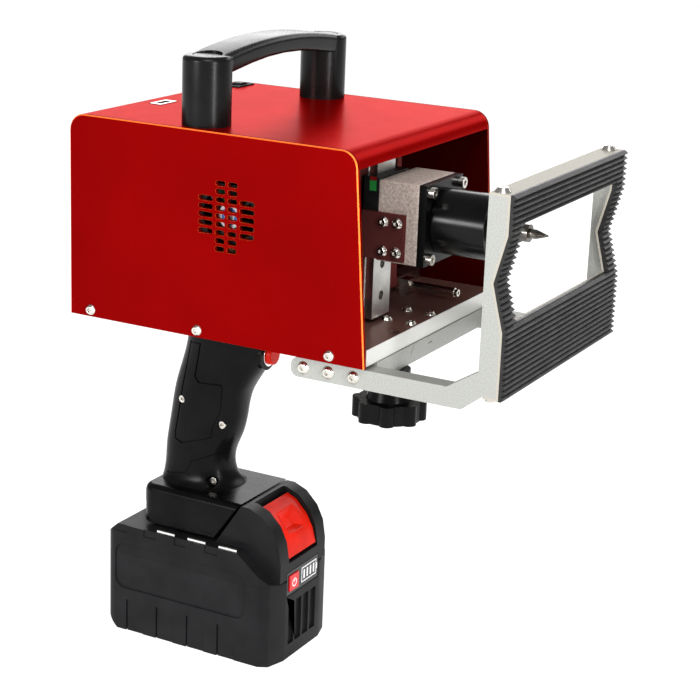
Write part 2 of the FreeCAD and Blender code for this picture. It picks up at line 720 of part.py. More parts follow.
# ---------------------------------------------------------------- locking knob
def star_knob():
    """An eight-lobed grip with a tapered skirt and a flat collar that bears on the cross plate."""
    hub = fuse(rod("Z", KNOB_HOLE, KNOB_LOW, LOBE_TOP, knob_radius - 3.2),
               taper("Z", KNOB_HOLE, LOBE_TOP, COLLAR_LOW, 15, 11.5),
               rod("Z", KNOB_HOLE, COLLAR_LOW, cross_low - 0.3, 12.5))
    ring = knob_radius - LOBE
    angles = [math.radians(22.5 + 45 * i) for i in range(8)]
    lobes = [rod("Z", (knob_x + ring * math.cos(a), knob_y + ring * math.sin(a)), KNOB_LOW, LOBE_TOP, LOBE)
             for a in angles]
    return cut(fuse(hub, *lobes), rod("Z", KNOB_HOLE, STUD_LOW, cross_low + 5, STUD))


KNOB_LOW, LOBE_TOP, COLLAR_LOW, LOBE = 201.5, 214.5, 228, 5
STUD_LOW, STUD = 206, 4
keep(star_knob(), "star_knob")
keep(rod("Z", KNOB_HOLE, STUD_LOW, base_top - 0.5, STUD), "knob_stud")


# ---------------------------------------------------------------- pistol grip
GRIP_LEVELS = [  # height, front edge, rear edge, half width
    (243, -34, 23, 21), (226, -36, 25, 21), (210, -34, 28, 21), (196, -28, 32, 20.5), (180, -19, 36.5, 20),
    (163, -15.5, 39.5, 19.5), (147, -11.5, 42, 19.5), (136, -7, 43.5, 19), (121, -7, 44.5, 19),
    (113, -12, 45.5, 22), (110, -20, 46, 26)]


def oval(height, front, rear, half, inset=0.0):
    """A closed grip section: a superellipse drawn as a smooth periodic curve."""
    centre = (front + rear) / 2
    deep = (rear - front) / 2 - inset
    wide = half - inset
    points = []
    for i in range(20):
        angle = 2 * math.pi * i / 20
        c, s = math.cos(angle), math.sin(angle)
        points.append(Vector(wide * math.copysign(abs(c) ** 0.8, c),
                             centre + deep * math.copysign(abs(s) ** 0.8, s), height))
    curve = Part.BSplineCurve()
    curve.interpolate(Points=points, PeriodicFlag=True)
    return Part.Wire(curve.toShape())


def loft(levels, inset=0.0):
    solid = doc.addObject("Part::Feature", "Loft")
    solid.Shape = Part.makeLoft([oval(*level, inset) for level in levels], True, False)
    return solid


def foot():
    """The flared foot that clamps over the battery: slanted front face, rounded side edges."""
    outline = [(-13.5, foot_low), (47, foot_low), (47, foot_top + 1), (-33, foot_top + 1)]
    solid = fillet(profile("YZ", outline, -34, 68), 10,
                   lambda e: parallel(e, Z_AXIS) and e.CenterOfMass.y > 46)
    return fillet(solid, 5, lambda e: e.CenterOfMass.z > 102.5 and e.Length > 4 and e.CenterOfMass.y > -30)


def grip():
    """Both halves of the grip in one, hollow, with screw bosses and a T slot for the battery rail."""
    outside = loft(GRIP_LEVELS)
    cavity = loft([(level[0] + (5 if i == 0 else 0), *level[1:]) for i, level in enumerate(GRIP_LEVELS)
                   if level[0] > 115], GRIP_WALL)
    pillars = [rod("X", (y, z), -40, 40, recess + 2) for y, z, _, recess in GRIP_SCREWS]
    collar = rod("Y", TRIGGER, -34, -20, trigger_radius + 4.5)
    bores = [rod("X", (y, z), -40, 40, 1.6) for y, z, _, _ in GRIP_SCREWS]
    recesses = [rod("X", (y, z), -40, seat, recess) for y, z, seat, recess in GRIP_SCREWS]
    slot = [block(NECK_X, (-40, SLOT_REAR), (foot_low - 1, NECK_TOP)),
            block(HEAD_X, (-40, SLOT_REAR), (NECK_TOP - 0.6, SLOT_TOP))]
    trigger_bore = rod("Y", TRIGGER, -36, -10, trigger_radius + 1.7)
    hollow = fuse(cut(outside, cavity), common(outside, fuse(*pillars)), foot(), collar)
    return cut(hollow, *slot, trigger_bore, *bores, *recesses)


GRIP_SCREWS = [(-7, 159, -12.2, 3.1), (0, 116, -11, 4.2), (24.5, 172.5, -14, 3)]  # y, z, seat, recess radius
GRIP_WALL = 2.6
TRIGGER = (0, trigger_height)
NECK_X, HEAD_X = (-18.4, 18.4), (-23.4, 23.4)
NECK_TOP, SLOT_TOP, SLOT_REAR = 94, 101.6, 44.5
grip_body = grip()
grip_half = common(grip_body, block((-60, 0), (-60, 80), (60, 260)))
keep(grip_half, "grip_shell_left")
keep(mirrored(grip_half), "grip_shell_right")
keep(cut(block((-24, 24), (-38, 27), (243, base_low)), block((-10, 10), (-10, 10), (242, base_low + 1))),
     "grip_mounting_plate")
keep(group(*[cap_screw("X", (y, z), seat, -1, 1.5, 2.75, 22) for y, z, seat, _ in GRIP_SCREWS]), "grip_screws")
keep(cut(rod("Y", TRIGGER, -35.5, -20, trigger_radius + 1.6),
         rod("Y", TRIGGER, -37, -19, trigger_radius + 0.1)), "trigger_ring")
keep(rod("Y", TRIGGER, -39.5, -22, trigger_radius), "trigger_button")
keep(fuse(block((-6, 6), (-16, 4), (203, 219)), block((-18.2, 18.2), (-4, 2), (208, 214))), "trigger_switch")
keep(cut(block((-3, 3), (47, 64), (84, 94)), block((-4, 4), (51, 61), (86.5, 91.5))), "strap_lug")


# ---------------------------------------------------------------- battery pack
def pack_outline():
    return [(-pack_half, pack_front), (-38.5, pack_front - 6.5), (-24.5, pack_nose), (24.5, pack_nose),
            (38.5, pack_front - 6.5), (pack_half, pack_front), (pack_half, pack_rear), (-pack_half, pack_rear)]


def pack_shell(low, high):
    """A ring wall of the pack between two heights, bevelled along its rear corners."""
    solid = profile("XY", pack_outline(), low, dim(high) - low)
    return fillet(solid, 10, lambda e: parallel(e, Z_AXIS) and e.CenterOfMass.y > 71)


def rear_bevel(z_edge, z_out):
    """A wedge that takes the corner off the pack's rear top or bottom edge."""
    points = [(pack_rear - 12, z_edge), (pack_rear + 5, z_edge), (pack_rear + 5, z_out)]
    return profile("YZ", points, -60, 120)


inner_box = ((-pack_half + pack_wall, pack_half - pack_wall), (pack_front + pack_wall, pack_rear - 8))
vents = [block((x - 3.9, x + 3.9), (-70, pack_nose + 2.2), (10, 41)) for x in (-15, -5, 5, 15)]
gauge_recess = [block((-22, 22), (-75, -65.2), (47, 65)), block((-19.1, -6.4), (-66, -63), (49.9, 62.1))]
keep(cut(pack_shell(0, pack_split), block(*inner_box, (pack_wall, pack_split + 1)),
         rear_bevel(-1, 14), *vents, *gauge_recess), "pack_lower_case")


def nose():
    """The raised front of the pack that carries the latch, seen from the side."""
    outline = [(-14, pack_top), (-33.6, foot_top), (-40, 110), (-50, 106), (-59, 97), (-64, 87),
               (pack_nose + 0.3, 74), (pack_nose + 0.3, 60), (-40, 60), (-14, 70)]
    return profile("YZ", outline, -31, 62)


def front_slant():
    """The wedge that slants the upper front corners of the shell on both sides of the nose."""
    return profile("YZ", [(-35.4, pack_top + 2), (-75, pack_top + 2), (-75, 51.2)], -60, 120)


def upper_hollow():
    """The space inside the upper shell, one wall inside its top and its slanted front."""
    front, rear = inner_box[1]
    outline = [(front, pack_split - 1), (rear, pack_split - 1), (rear, 76), (-36.9, 76), (front, 64.8)]
    return profile("YZ", outline, inner_box[0][0], inner_box[0][1] * 2)


upper = cut(fuse(cut(pack_shell(pack_split, pack_top), front_slant()), nose()),
            upper_hollow(),
            block((-17, 17), (-48, -24), (75, 92)),
            profile("YZ", [(-37, 112), (-39, 91.5), (-51, 84), (-57, 71.5), (-75, 71.5), (-75, 112)], -19.5, 39),
            rear_bevel(pack_top + 1, 66), *gauge_recess)
CELL_Y, CELL_Z, CELL_PITCH = -28, 13, 20
CONTACTS = (-11, 0, 11)
RAIL_Y, RAIL_TOP = (-20, 26), 101
rail_block = cut(fuse(block((-18, 18), RAIL_Y, (pack_top - 1, RAIL_TOP)),
                      block((-23, 23), RAIL_Y, (NECK_TOP, RAIL_TOP))),
                 *[block((x - 1.5, x + 1.5), (5, 27), (90, RAIL_TOP + 1)) for x in CONTACTS])
keep(fuse(upper, rail_block), "pack_upper_case")
keep(group(*[rod("X", (CELL_Y + CELL_PITCH * i, CELL_Z + CELL_PITCH * j), -32.5, 32.5, 9)
             for i in range(5) for j in range(3)]), "battery_cells")
keep(group(*[cut(block((x - 1.4, x + 1.4), (8, 24), (90, 99)), block((x - 0.6, x + 0.6), (7, 25), (91, 100)))
             for x in CONTACTS]), "terminal_contacts")
keep(fuse(block(NECK_X, (31, SLOT_REAR), (foot_low + 0.5, NECK_TOP)),
          block(HEAD_X, (31, SLOT_REAR), (NECK_TOP - 0.6, SLOT_TOP)),
          *[block((x - 0.5, x + 0.5), (9, 32), (91.2, 98)) for x in CONTACTS]), "terminal_socket")
keep(cut(block((-21.5, 21.5), (-66.2, -65.2), (47.5, 64.5)), block((-19, -6.5), (-70, -60), (50, 62))),
     "gauge_panel")
keep(block((-18.8, -6.7), (-67.2, -64), (50.2, 61.8)), "gauge_button")


def latch():
    """The red release key: it follows the curve of the nose and has a scooped finger hollow."""
    outline = [(-41.3, 106.5), (-49, 103), (-57.5, 94), (-62.5, 85), (-65.5, 74), (-61, 74), (-55.3, 84.7),
               (-43.3, 94.8)]
    solid = profile("YZ", outline, -19, 38)
    scoop = doc.addObject("Part::Wedge", "Scoop")
    scoop.Xmin, scoop.Xmax, scoop.Zmin, scoop.Zmax = -5, 5, -3, 3
    scoop.X2min, scoop.X2max, scoop.Z2min, scoop.Z2max = -14, 14, -12, 12
    scoop.Ymin, scoop.Ymax = 0, 7
    scoop.Placement = Placement(Vector(0, -52.5, 92.2), Rotation(Vector(1, 0, 0), 140))
    return cut(solid, scoop)


keep(latch(), "latch_key")
keep(group(*[block((side * 40 - 1, side * 40 + 1), (y - 7.3, y + 7.3), (pack_top, pack_top + 2))
             for side in (-1, 1) for y in (21, -4.3, -29.6)]), "pack_clips")


# ---------------------------------------------------------------- check every part, then write it
doc.recompute()
for item in doc.Objects:
    if "Invalid" in item.State or "Error" in item.State:
        raise RuntimeError(f"{item.Name} ({item.Label}) failed to build")
os.makedirs("parts", exist_ok=True)
for item in finished:
    shape = item.Shape
    if shape.isNull() or not shape.isValid() or not shape.Solids:
        raise RuntimeError(f"{item.Label} is not a valid solid")
    shape.exportStep(f"parts/{item.Label}.step")
    print(f"{item.Label:22s} {len(shape.Solids):3d} solids {shape.Volume / 1000:9.2f} cm3")
print(len(finished), "sub-parts")
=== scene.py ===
import json
import math

import bpy
from mathutils import Matrix, Vector

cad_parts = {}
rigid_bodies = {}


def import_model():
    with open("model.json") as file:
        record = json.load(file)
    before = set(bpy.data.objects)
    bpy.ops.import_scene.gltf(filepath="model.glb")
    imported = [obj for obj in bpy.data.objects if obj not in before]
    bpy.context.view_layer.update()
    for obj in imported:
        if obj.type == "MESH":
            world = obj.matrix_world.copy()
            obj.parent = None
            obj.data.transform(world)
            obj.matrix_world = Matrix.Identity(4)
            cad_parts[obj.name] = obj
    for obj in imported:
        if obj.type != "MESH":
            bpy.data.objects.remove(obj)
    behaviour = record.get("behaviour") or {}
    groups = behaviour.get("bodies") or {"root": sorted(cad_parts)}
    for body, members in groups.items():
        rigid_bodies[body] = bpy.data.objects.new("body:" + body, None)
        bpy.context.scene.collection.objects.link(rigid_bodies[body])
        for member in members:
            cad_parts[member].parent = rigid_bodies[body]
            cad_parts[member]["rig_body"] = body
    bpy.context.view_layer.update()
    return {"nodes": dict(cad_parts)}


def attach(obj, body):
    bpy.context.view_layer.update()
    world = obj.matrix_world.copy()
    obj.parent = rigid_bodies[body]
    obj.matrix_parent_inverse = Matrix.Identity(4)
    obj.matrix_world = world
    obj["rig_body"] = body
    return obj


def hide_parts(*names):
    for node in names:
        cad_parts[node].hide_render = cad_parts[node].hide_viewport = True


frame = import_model()
bpy.ops.object.select_all(action="DESELECT")

# ------------------------------------------------------------------ studio
# The machine stands on its battery on a glowing white floor.  A key box above, a narrow strip in front, a
# low box behind that shines on the roof and a small one at the left round it off.
TURNED, RAISED, LEANED = math.radians(-62.183), math.radians(16.655), math.radians(2.27)
bpy.ops.object.camera_add()
camera = bpy.context.object
camera.data.lens = 95.287
camera.matrix_world = (
    Matrix.Translation((-1.04215, -0.64638, 0.57762))
    @ Matrix.Rotation(TURNED, 4, "Z")
    @ Matrix.Rotation(math.pi / 2 - RAISED, 4, "X")
    @ Matrix.Rotation(LEANED, 4, "Z")
)
bpy.context.scene.camera = camera
bpy.context.scene.view_settings.view_transform = "Standard"

world = bpy.data.worlds.new("Dim room")
world.use_nodes = True
world.node_tree.nodes["Background"].inputs["Color"].default_value = (1, 1, 1, 1)
world.node_tree.nodes["Background"].inputs["Strength"].default_value = 0.30
bpy.context.scene.world = world


def soft_box(name, place, target, wide, high, power):
    """A lamp panel that faces a point of the machine."""
    bpy.ops.object.light_add(type="AREA", location=place)
    lamp = bpy.context.object
    lamp.name = name
    lamp.data.shape = "RECTANGLE"
    lamp.data.size = wide
    lamp.data.size_y = high
    lamp.data.energy = power
    lamp.rotation_euler = (Vector(target) - Vector(place)).to_track_quat("-Z", "Y").to_euler()


soft_box("Key_box", (-1.3, -0.9, 2.0), (0, -0.05, 0.25), 1.1, 1.1, 30)
soft_box("Strip_box", (-0.85, -1.75, 0.6), (0, -0.1, 0.4), 0.24, 1.1, 22)
soft_box("Roof_sheen_box", (1.7, 0.85, 0.97), (0, -0.04, 0.37), 1.5, 0.9, 13)
soft_box("Fold_box", (1.75, -0.6, 1.2), (0, -0.15, 0.37), 0.9, 0.6, 5)
soft_box("Left_box", (-1.9, 0.62, 0.75), (0, 0, 0.2), 0.6, 0.35, 20)

bpy.ops.mesh.primitive_plane_add(size=24, location=(0, 0, -0.0003))
floor = bpy.context.object
floor.name = "Pale_floor"
paper = bpy.data.materials.new("Pale paper")
paper.use_nodes = True
paper_shader = paper.node_tree.nodes["Principled BSDF"]
paper_shader.inputs["Base Color"].default_value = (0.35, 0.35, 0.35, 1)
paper_shader.inputs["Roughness"].default_value = 0.9
paper_shader.inputs["Specular IOR Level"].default_value = 0.0
paper_shader.inputs["Emission Color"].default_value = (1, 1, 1, 1)
paper_shader.inputs["Emission Strength"].default_value = 0.9
floor.data.materials.append(paper)


# ------------------------------------------------------------------ red case
# Two 3 mm side plates and a bent 2 mm cover of aluminium sheet, blasted, dyed deep red and sealed.
# The plates' chamfered outer rims carry a painted highlight: the chamfer faces are coloured orange and made to
# glow.
class Value:
    """A number or colour that varies over a finish; sums on numbers add Math nodes."""

    def __init__(self, finish, socket):
        self.finish = finish
        self.socket = socket

    def maths(self, operation, *terms):
        return self.finish.add("ShaderNodeMath", {"operation": operation}, dict(enumerate(terms)))

    def __add__(self, other):
        return self.maths("ADD", self, other)

    def __radd__(self, other):
        return self.maths("ADD", other, self)

    def __sub__(self, other):
        return self.maths("SUBTRACT", self, other)

    def __rsub__(self, other):
        return self.maths("SUBTRACT", other, self)

    def __mul__(self, other):
        return self.maths("MULTIPLY", self, other)

    def __rmul__(self, other):
        return self.maths("MULTIPLY", other, self)

    def __gt__(self, other):
        return self.maths("GREATER_THAN", self, other)

    def __lt__(self, other):
        return self.maths("LESS_THAN", self, other)

    def within(self, low, high):
        return (self > low) * (self < high)

    def size(self):
        return self.maths("ABSOLUTE", self)

    def root(self):
        return self.maths("SQRT", self)


class Finish:
    """A surface finish: one Principled shader and the nodes that vary it."""

    def __init__(self, name, constants):
        self.material = bpy.data.materials.new(name)
        self.material.use_nodes = True
        self.tree = self.material.node_tree
        self.shader = self.tree.nodes["Principled BSDF"]
        for socket, value in constants.items():
            self.shader.inputs[socket].default_value = value
        self.place = self.add("ShaderNodeTexCoord", {}, {}, "Object")
        self.x, self.y, self.z = self.axes(self.place)

    def add(self, kind, settings, values, output=0):
        """Any node: its settings first, then the values or links of its sockets."""
        node = self.tree.nodes.new(kind)
        for setting, value in settings.items():
            if setting == "stops":
                ramp = node.color_ramp
                ramp.elements[0].position, ramp.elements[0].color = value[0]
                ramp.elements[1].position, ramp.elements[1].color = value[-1]
                for position, colour in value[1:-1]:
                    ramp.elements.new(position).color = colour
            else:
                setattr(node, setting, value)
        for socket, value in values.items():
            self.join(node.inputs[socket], value)
        return Value(self, node.outputs[output])

    def axes(self, vector):
        return [self.add("ShaderNodeSeparateXYZ", {}, {"Vector": vector}, axis) for axis in range(3)]

    def join(self, socket, value):
        if isinstance(value, Value):
            self.tree.links.new(value.socket, socket)
        else:
            socket.default_value = value

    def feed(self, socket, value):
        self.join(self.shader.inputs[socket], value)

    def noise(self, scale, detail=3.0, stretch=(1, 1, 1)):
        """Cloudy noise at a scale in lumps per metre, drawn out along an axis by stretch."""
        if stretch == (1, 1, 1):
            place = self.place
        else:
            place = self.add("ShaderNodeMapping", {}, {"Vector": self.place, "Scale": stretch})
        values = {"Vector": place, "Scale": scale, "Detail": detail}
        return self.add("ShaderNodeTexNoise", {}, values)

    def blend(self, share, first, second):
        settings = {"data_type": "RGBA"}
        return self.add("ShaderNodeMix", settings, {0: share, 6: first, 7: second}, 2)

    def tint(self, share, stops):
        """A colour ramp with its stops spread evenly from 0.3 to 0.7."""
        last = len(stops) - 1
        placed = [(0.3 + 0.4 * i / last, (*colour, 1)) for i, colour in enumerate(stops)]
        return self.add("ShaderNodeValToRGB", {"stops": placed}, {"Fac": share})

    def bump(self, height, distance, strength=1.0):
        values = {"Height": height, "Distance": distance, "Strength": strength}
        self.feed("Normal", self.add("ShaderNodeBump", {}, values))


CASE_MIDDLE = 0.33
# How strongly the rim's painted orange highlight glows.
PAINTED_RIM_GLOW = 0.7
DEEP_RED, BRIGHT_RED = (0.19, 0.0003, 0.0004), (0.225, 0.0004, 0.0005)
# The cover's reds are the plates' dyed red painted lighter, as painted light on the roof; cover and plates are
# the same dyed sheet.
PAINTED_LIT_COVER_DEEP, PAINTED_LIT_COVER_BRIGHT = (0.30, 0.0004, 0.0005), (0.36, 0.0006, 0.0007)
# The near-black colour painted onto faces inside the case as shade.
PAINTED_INTERIOR_SHADE = (0.006, 0.0005, 0.0005, 1)


def anodised(name, deep, bright, rim=None, shade=0.0, metallic=0.4):
    """Blasted, dyed aluminium with a sealed skin; shade is how far faces inside the case are darkened by painted
    shade, and a rim colour is painted on the chamfered rim as a glowing painted highlight.
    """
    constants = {"Metallic": metallic, "Specular IOR Level": 0.0, "Coat Weight": 0.12, "Coat IOR": 1.2}
    constants.update({"Specular Tint": (1.0, 0.2, 0.18, 1), "Coat Roughness": 0.24})
    # The rim's painted highlight glows: it gets emission only when a rim colour is given.
    constants["Emission Strength"] = 0.5 if rim else 0.0
    finish = Finish(name, constants)
    colour = finish.tint(finish.noise(14, 4), [deep, bright])
    turned, _, raised = finish.axes(finish.add("ShaderNodeNewGeometry", {}, {}, "True Normal"))
    # Painted shade: faces turned towards the inside of the case are blended towards a near-black red.
    if shade:
        painted_shade_faces = (turned * finish.x < -0.02) + (raised * (finish.z - CASE_MIDDLE) < -0.02)
        colour = finish.blend(painted_shade_faces * shade, colour, PAINTED_INTERIOR_SHADE)
    # Painted highlight: the chamfer faces round the rim are coloured orange and glow.
    if rim:
        painted_rim_highlight = turned.size().within(0.30, 0.95)
        colour = finish.blend(painted_rim_highlight, colour, (*rim, 1))
        painted_rim_glow = tuple(channel * PAINTED_RIM_GLOW for channel in rim)
        finish.feed("Emission Color", finish.blend(painted_rim_highlight, (0, 0, 0, 1), (*painted_rim_glow, 1)))
    finish.feed("Base Color", colour)
    finish.feed("Roughness", finish.noise(60, 3) * 0.08 + 0.36)
    finish.bump(finish.noise(2600, 2), 0.00004, 0.3)
    return finish.material


def pick(*pieces):
    """Selects the pieces and nothing else, with the first one active."""
    bpy.ops.object.select_all(action="DESELECT")
    for piece in pieces:
        piece.select_set(True)
    bpy.context.view_layer.objects.active = pieces[0]


def carve(piece, operation, tools):
    """Cuts or joins solid tools and takes them away afterwards."""
    for tool in tools:
        pick(piece)
        boolean = piece.modifiers.new("Carve", "BOOLEAN")
        boolean.operation = operation
        boolean.object = tool
        boolean.solver = "EXACT"
        bpy.ops.object.modifier_apply(modifier=boolean.name)
        bpy.data.objects.remove(tool)


def break_edges(piece, width, sharper_than=28):
    """Rounds every sharp edge a little, as a deburring wheel leaves it, and shades flat faces flat."""
    pick(piece)
    bevel = piece.modifiers.new("Broken edges", "BEVEL")
    bevel.width = width
    bevel.segments = 2
    bevel.limit_method = "ANGLE"
    bevel.angle_limit = math.radians(sharper_than)
    bevel.miter_outer = "MITER_ARC"
    bpy.ops.object.modifier_apply(modifier=bevel.name)
    bpy.ops.object.shade_smooth_by_angle(angle=math.radians(42))
    flat = piece.modifiers.new("Flat faces", "WEIGHTED_NORMAL")
    flat.keep_sharp = True
    bpy.ops.object.modifier_apply(modifier=flat.name)


def fit(piece, name, material, node):
    """Names a finished piece, gives it its finish and hangs it on the body of the node it stands for."""
    piece.name = name
    piece.data.name = name
    piece.data.materials.clear()
    piece.data.materials.append(material)
    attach(piece, frame["nodes"][node]["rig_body"])
    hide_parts(node)


def plain_copy(node):
    """A copy of a CAD piece with its loose triangles merged into clean faces."""
    piece = frame["nodes"][node].copy()
    piece.data = piece.data.copy()
    piece.parent = None
    bpy.context.scene.collection.objects.link(piece)
    pick(piece)
    bpy.ops.object.mode_set(mode="EDIT")
    bpy.ops.mesh.select_all(action="SELECT")
    bpy.ops.mesh.remove_doubles(threshold=0.000004)
    bpy.ops.mesh.dissolve_limited(angle_limit=math.radians(0.6))
    bpy.ops.object.mode_set(mode="OBJECT")
    return piece


def machined(node, name, material, width=0.0003, cutters=()):
    """A CAD piece with further cuts and broken edges."""
    piece = plain_copy(node)
    carve(piece, "DIFFERENCE", cutters)
    break_edges(piece, width)
    fit(piece, name, material, node)


def paint(node, material):
    """Gives a CAD piece whose shape is already right its finish."""
    mesh = frame["nodes"][node].data
    mesh.materials.clear()
    mesh.materials.append(material)


# The cover is the plates' dyed red painted lighter, as painted light on the roof, with painted shade on its inner
# faces.
red = anodised("Cover red, painted lighter", PAINTED_LIT_COVER_DEEP, PAINTED_LIT_COVER_BRIGHT, shade=0.85, metallic=0.75)
# The side plates carry the painted rim highlight and painted interior shade.
red_rimmed = anodised("Red with painted rim highlight", DEEP_RED, BRIGHT_RED, (1.0, 0.17, 0.03), 0.8)
machined("left_side_panel", "Left_side_plate", red_rimmed, 0.0004)
machined("right_side_panel", "Right_side_plate", red_rimmed, 0.0004)
machined("top_cover", "Bent_cover", red, 0.0003)


# ------------------------------------------------------------------ screws and bought steel parts
# Stainless button and cap screws, a polished tie rod, the data port's shell, ground lead screws and brass
# nuts: all turned or ground bright and left bare.
def metal(name, dark, light, rough, grain_scale, grain_height, stretch=(1, 1, 1)):
    """Bare metal: grain or drawn lines, slight staining and uneven gloss."""
    finish = Finish(name, {"Metallic": 1.0})
    finish.feed("Base Color", finish.tint(finish.noise(90, 4), [dark, light]))
    lines = finish.noise(grain_scale, 3, stretch)
    finish.feed("Roughness", lines * 0.16 + (rough - 0.08))
    finish.bump(lines, grain_height, 0.6)
    return finish.material


stainless = metal("Polished stainless", (0.60, 0.57, 0.52), (0.76, 0.73, 0.68), 0.2, 900, 0.00001)
ground_steel = metal("Ground steel", (0.46, 0.45, 0.43), (0.62, 0.61, 0.58), 0.3, 260, 0.00002, (30, 30, 1))
brass = metal("Turned brass", (0.58, 0.38, 0.14), (0.74, 0.52, 0.22), 0.3, 500, 0.00002)
chrome = metal("Bright plating", (0.80, 0.80, 0.78), (0.88, 0.88, 0.86), 0.14, 500, 0.000005)

for node in ("housing_screws", "arm_screws", "frame_screws", "bracket_screws", "flange_screws"):
    machined(node, node.capitalize(), stainless, 0.00015)
machined("tie_rod", "Tie_rod", stainless, 0.0002)
machined("data_port", "Data_port", stainless, 0.0002)
machined("knob_stud", "Knob_stud", ground_steel, 0.0003)
machined("terminal_contacts", "Battery_contacts", brass, 0.0001)
paint("x_leadscrew", ground_steel)
paint("z_leadscrew", ground_steel)
machined("x_nut", "Cross_nut", brass, 0.0003)
machined("z_nut_arm", "Lift_nut", brass, 0.0003)


# ------------------------------------------------------------------ base plate
# A 10.5 mm aluminium plate that carries everything: dyed red-brown on top, milled bare along its front edge.
def base_finish():
    finish = Finish("Dyed base plate", {"Metallic": 0.45, "Specular IOR Level": 0.3})
    bare = finish.y < -0.1556
    dye = finish.tint(finish.noise(30), [(0.16, 0.078, 0.062), (0.22, 0.105, 0.085)])
    finish.feed("Base Color", finish.blend(bare, dye, (0.70, 0.70, 0.67, 1)))
    finish.feed("Roughness", finish.noise(120, 3) * 0.1 + 0.3)
    finish.bump(finish.noise(1400), 0.00003, 0.3)
    return finish.material


machined("base_plate", "Base_plate", base_finish(), 0.0004)


# ------------------------------------------------------------------ stage, rails and carriages
# Ground rails with blackened carriages on a red-brown dyed bracket.  The upright carriage has a green
# end seal with a red grease nipple cap; each axis is driven by a small black stepping motor.
def carriage_finish():
    finish = Finish("Blackened carriage", {"Metallic": 0.6, "Specular IOR Level": 0.3})
    dark = finish.tint(finish.noise(120, 4), [(0.012, 0.012, 0.013), (0.03, 0.03, 0.032)])
    seal = finish.z.within(0.3452, 0.3515) * finish.y.within(-0.1346, -0.1300) * (finish.x < -0.0455)
    nipple = (finish.z > 0.3518) * finish.y.within(-0.1346, -0.1300) * (finish.x < -0.0455)
    sealed = finish.blend(seal, dark, (0.02, 0.22, 0.04, 1))
    finish.feed("Base Color", finish.blend(nipple, sealed, (0.5, 0.02, 0.02, 1)))
    finish.feed("Metallic", (1 - seal) * 0.6)
    finish.feed("Roughness", finish.noise(300, 3) * 0.14 + 0.3)
    finish.bump(finish.noise(900), 0.00002, 0.4)
    return finish.material


black_steel = carriage_finish()
dyed_brown = anodised("Red-brown dyed bracket", (0.085, 0.022, 0.020), (0.13, 0.036, 0.032))
machined("z_bearing_block", "Lift_carriage", black_steel, 0.0004)
machined("x_bearing_blocks", "Cross_carriages", black_steel, 0.0004)
machined("z_rail", "Vertical_rail", ground_steel, 0.0003)
machined("x_rails", "Cross_rails", ground_steel, 0.0003)
machined("x_motor", "Cross_motor", black_steel, 0.0008)
machined("z_motor", "Lift_motor", black_steel, 0.0008)
machined("stage_bracket", "Stage_bracket", dyed_brown, 0.0003)


# ------------------------------------------------------------------ marking head
# A blasted aluminium block on the carriage, a thin dyed side bracket, a black anodised flange and the
# enamelled can of the electromagnet, with a hardened stylus sliding in its nose.
def blast_finish(name, dark, light, grain, height, metallic=1.0):
    """Bead-blasted aluminium: a speckle of bright and dull dimples."""
    finish = Finish(name, {"Metallic": metallic, "Specular IOR Level": 0.2})
    speckle = finish.noise(grain, 3)
    finish.feed("Base Color", finish.tint(speckle, [dark, light]))
    finish.feed("Roughness", finish.noise(1100, 2) * 0.2 + 0.4)
    finish.bump(speckle, height, 0.7)
    return finish.material


def moulding(name, colour, rough, texture, height, level=0.22):
    """Moulded or enamelled black: a fine texture, slight sink marks and handling gloss."""
    finish = Finish(name, {"Specular IOR Level": level})
    lighter = tuple(channel * 1.5 + 0.002 for channel in colour)
    finish.feed("Base Color", finish.tint(finish.noise(45, 4), [colour, lighter]))
    finish.feed("Roughness", finish.noise(70, 4) * 0.12 + (rough - 0.06))
    finish.bump(finish.noise(texture, 2) + finish.noise(25, 1) * 6, height, 0.5)
    return finish.material


head_blast = blast_finish("Coarse blasted head", (0.36, 0.29, 0.25), (0.66, 0.55, 0.49), 620, 0.00012, 0.25)
enamel = moulding("Black enamel", (0.0012, 0.0012, 0.0012), 0.22, 400, 0.000004, 0.16)
dark_steel = metal("Hardened steel", (0.10, 0.09, 0.08), (0.20, 0.18, 0.16), 0.25, 400, 0.00001)
machined("head_block", "Head_block", head_blast, 0.0004)
machined("head_bracket", "Head_bracket", dyed_brown, 0.0003)
machined("head_flange", "Head_flange", enamel, 0.0005)
machined("coil_housing", "Coil_housing", enamel, 0.0006)
machined("stylus", "Marking_stylus", dark_steel, 0.0001)


# ------------------------------------------------------------------ front frame
# Two blasted arms joined by a cross plate, a bent satin sheet over their uprights and a ribbed rubber
# mat bonded to it.  The cross plate has two engraved strokes that read its setting.
MM = 0.001
AXES = {"X": Vector((1, 0, 0)), "Y": Vector((0, 1, 0)), "Z": Vector((0, 0, 1))}


def prism(points, axis, low, high, band=0.0):
    """A solid outline drawn across an axis and extruded along it; a band keeps only its border."""
    bpy.ops.mesh.primitive_circle_add(vertices=len(points), fill_type="NGON")
    piece = bpy.context.object
    for corner, (u, v) in zip(piece.data.vertices, points):
        place = {"X": (low, u, v), "Y": (u, low, v), "Z": (u, v, low)}[axis]
        corner.co = Vector(place) * MM
    bpy.ops.object.mode_set(mode="EDIT")
    bpy.ops.mesh.select_all(action="SELECT")
    if band:
        bpy.ops.mesh.inset(thickness=band * MM, depth=0)
        bpy.ops.mesh.delete(type="FACE")
        bpy.ops.mesh.select_all(action="SELECT")
    run = AXES[axis] * (high - low) * MM
    bpy.ops.mesh.extrude_region_move(TRANSFORM_OT_translate={"value": run})
    bpy.ops.mesh.select_all(action="SELECT")
    bpy.ops.mesh.normals_make_consistent(inside=False)
    bpy.ops.object.mode_set(mode="OBJECT")
    return piece


def slab(x, y, z):
    """A box between the low and high coordinates of each pair."""
    return prism([(x[0], y[0]), (x[1], y[0]), (x[1], y[1]), (x[0], y[1])], "Z", z[0], z[1])


